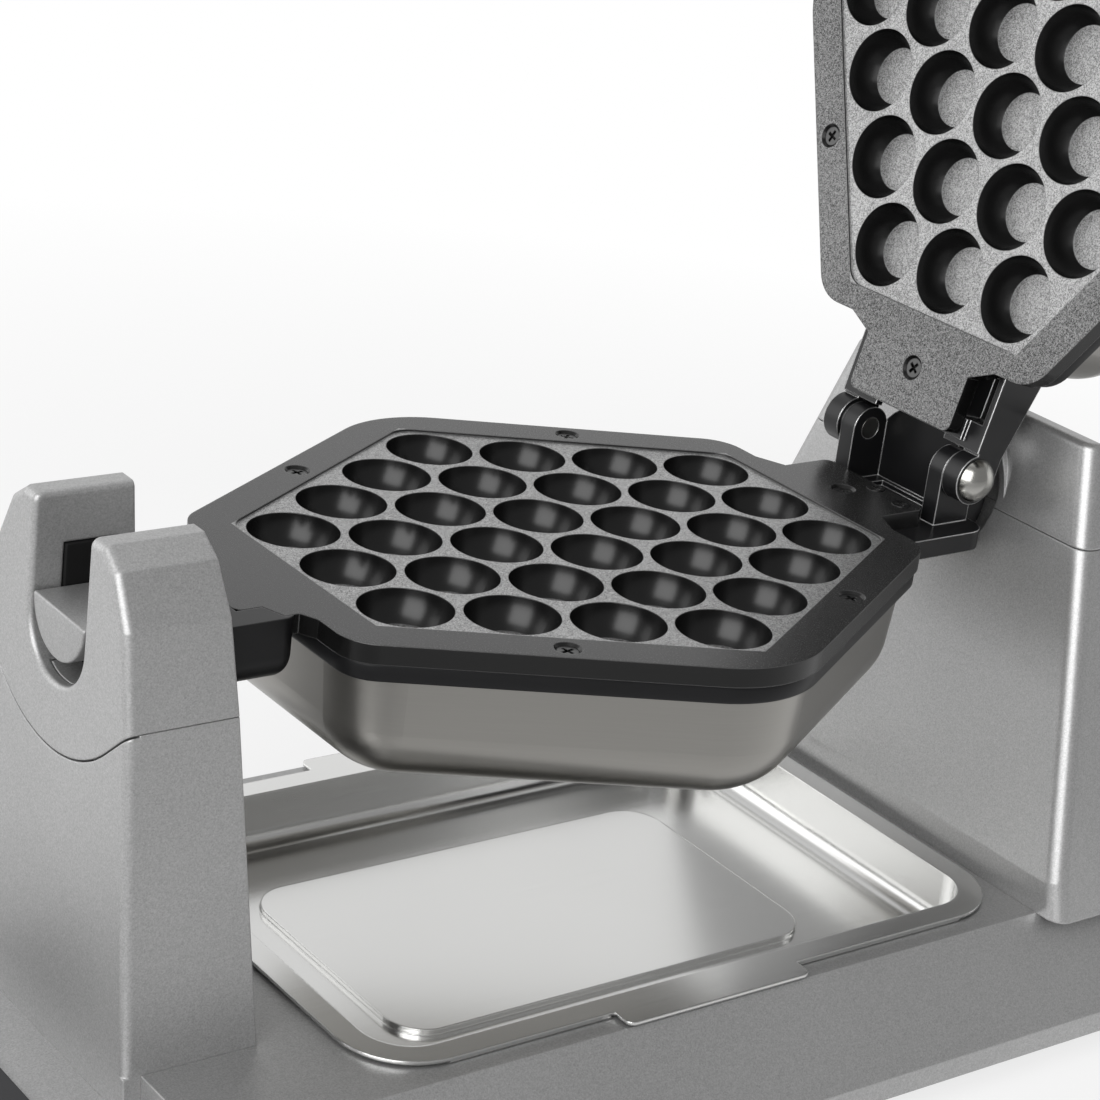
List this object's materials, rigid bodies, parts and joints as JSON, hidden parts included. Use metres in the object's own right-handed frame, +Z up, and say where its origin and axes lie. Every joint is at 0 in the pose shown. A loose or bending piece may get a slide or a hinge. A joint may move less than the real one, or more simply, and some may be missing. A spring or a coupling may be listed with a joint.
{
  "type": "rotary egg waffle maker",
  "caption": "Countertop rotary egg waffle maker: two hexagonal cast pans with ball cups turn together between a notched post and a rear housing, over a drip tray; upper pan stands open.",
  "frame": {"origin": "Centre of the bounding box's bottom face at rest, on the table plane under the middle of the base.", "axes": "X runs along the machine from the front post to the rear housing and is the axis that the pans turn about, Y runs across it, parallel to the lid's hinge pins, and Z points up."},
  "size_m": [0.55, 0.25, 0.6234],
  "materials": {
    "cast_plate": "dark non-stick coating over a cast iron plate",
    "black_trim": "black satin enamel",
    "pan_steel": "satin stainless steel",
    "tray_steel": "bright stainless steel",
    "silver_case": "fine metallic silver finish",
    "polished_steel": "polished steel",
    "trunnion_grey": "plain grey cast metal",
    "screw_steel": "zinc-plated steel",
    "black_plastic": "black moulded plastic",
    "foot_rubber": "black rubber",
    "bearing_liner": "black wear-resistant plastic",
    "element_sheath": "heat-darkened steel sheath",
    "bare_steel": "bare sheet steel",
    "lamp_lens": "red and green lamp lenses",
    "board_green": "circuit board",
    "pointer_white": "white inlay",
    "grip_black": "smooth black heat-proof plastic"
  },
  "bodies": {
    "stand": {"front_post": "silver_case", "post_cap": "silver_case", "post_bearing": "bearing_liner", "base_casing": "silver_case", "base_floor": "bare_steel", "rubber_feet": "foot_rubber", "foot_screws": "screw_steel", "tray_well": "bare_steel", "rear_housing": "silver_case", "housing_cap": "silver_case", "back_panel": "silver_case", "power_inlet": "black_plastic", "shaft_bush": "bare_steel", "bearing_bracket": "bare_steel", "control_fascia": "black_plastic", "switch_body": "black_plastic", "indicator_lamps": "lamp_lens", "control_board": "board_green"},
    "lower_pan": {"lower_plate": "cast_plate", "lower_plate_screws": "screw_steel", "lower_bezel": "black_trim", "lower_shell": "pan_steel", "lower_element": "element_sheath", "lower_element_clamp": "bare_steel", "lower_thermostat": "bare_steel", "lower_lug": "black_trim", "lower_trunnion": "trunnion_grey", "rear_yoke": "black_trim", "turning_shaft": "screw_steel", "shaft_collar": "bare_steel", "hinge_pins": "polished_steel", "hinge_washers": "screw_steel"},
    "upper_pan": {"upper_plate": "cast_plate", "upper_plate_screws": "screw_steel", "upper_bezel": "black_trim", "upper_shell": "pan_steel", "upper_element": "element_sheath", "upper_element_clamp": "bare_steel", "upper_thermostat": "bare_steel", "upper_lug": "black_trim", "upper_trunnion": "trunnion_grey", "hinge_arms": "black_trim", "handle_stem": "polished_steel", "handle_grip": "grip_black"},
    "tray": {"drip_tray": "tray_steel"},
    "knob": {"control_knob": "black_plastic", "knob_pointer": "pointer_white"},
    "rocker": {"power_rocker": "black_plastic"}
  },
  "joints": [
    {"name": "pan_turn", "type": "hinge", "parent": "stand", "child": "lower_pan", "pos_m": [0, 0, 0.175], "axis": [1, 0, 0], "range_deg": [-15, 15]},
    {"name": "lid_hinge", "type": "hinge", "parent": "lower_pan", "child": "upper_pan", "pos_m": [0.15015, 0, 0.18736], "axis": [0, -1, 0], "range_deg": [0, 105]},
    {"name": "tray_lift", "type": "slide", "parent": "stand", "child": "tray", "axis": [0, 0, 1], "range_m": [0, 0.05]},
    {"name": "knob_turn", "type": "hinge", "parent": "stand", "child": "knob", "pos_m": [-0.23125, 0.04, 0.02898], "axis": [-0.168, 0, 0.9858], "range_deg": [-270, 0]},
    {"name": "rocker_tip", "type": "hinge", "parent": "stand", "child": "rocker", "pos_m": [-0.23125, -0.042, 0.02898], "axis": [0, 1, 0], "range_deg": [-14, 0]}
  ]
}
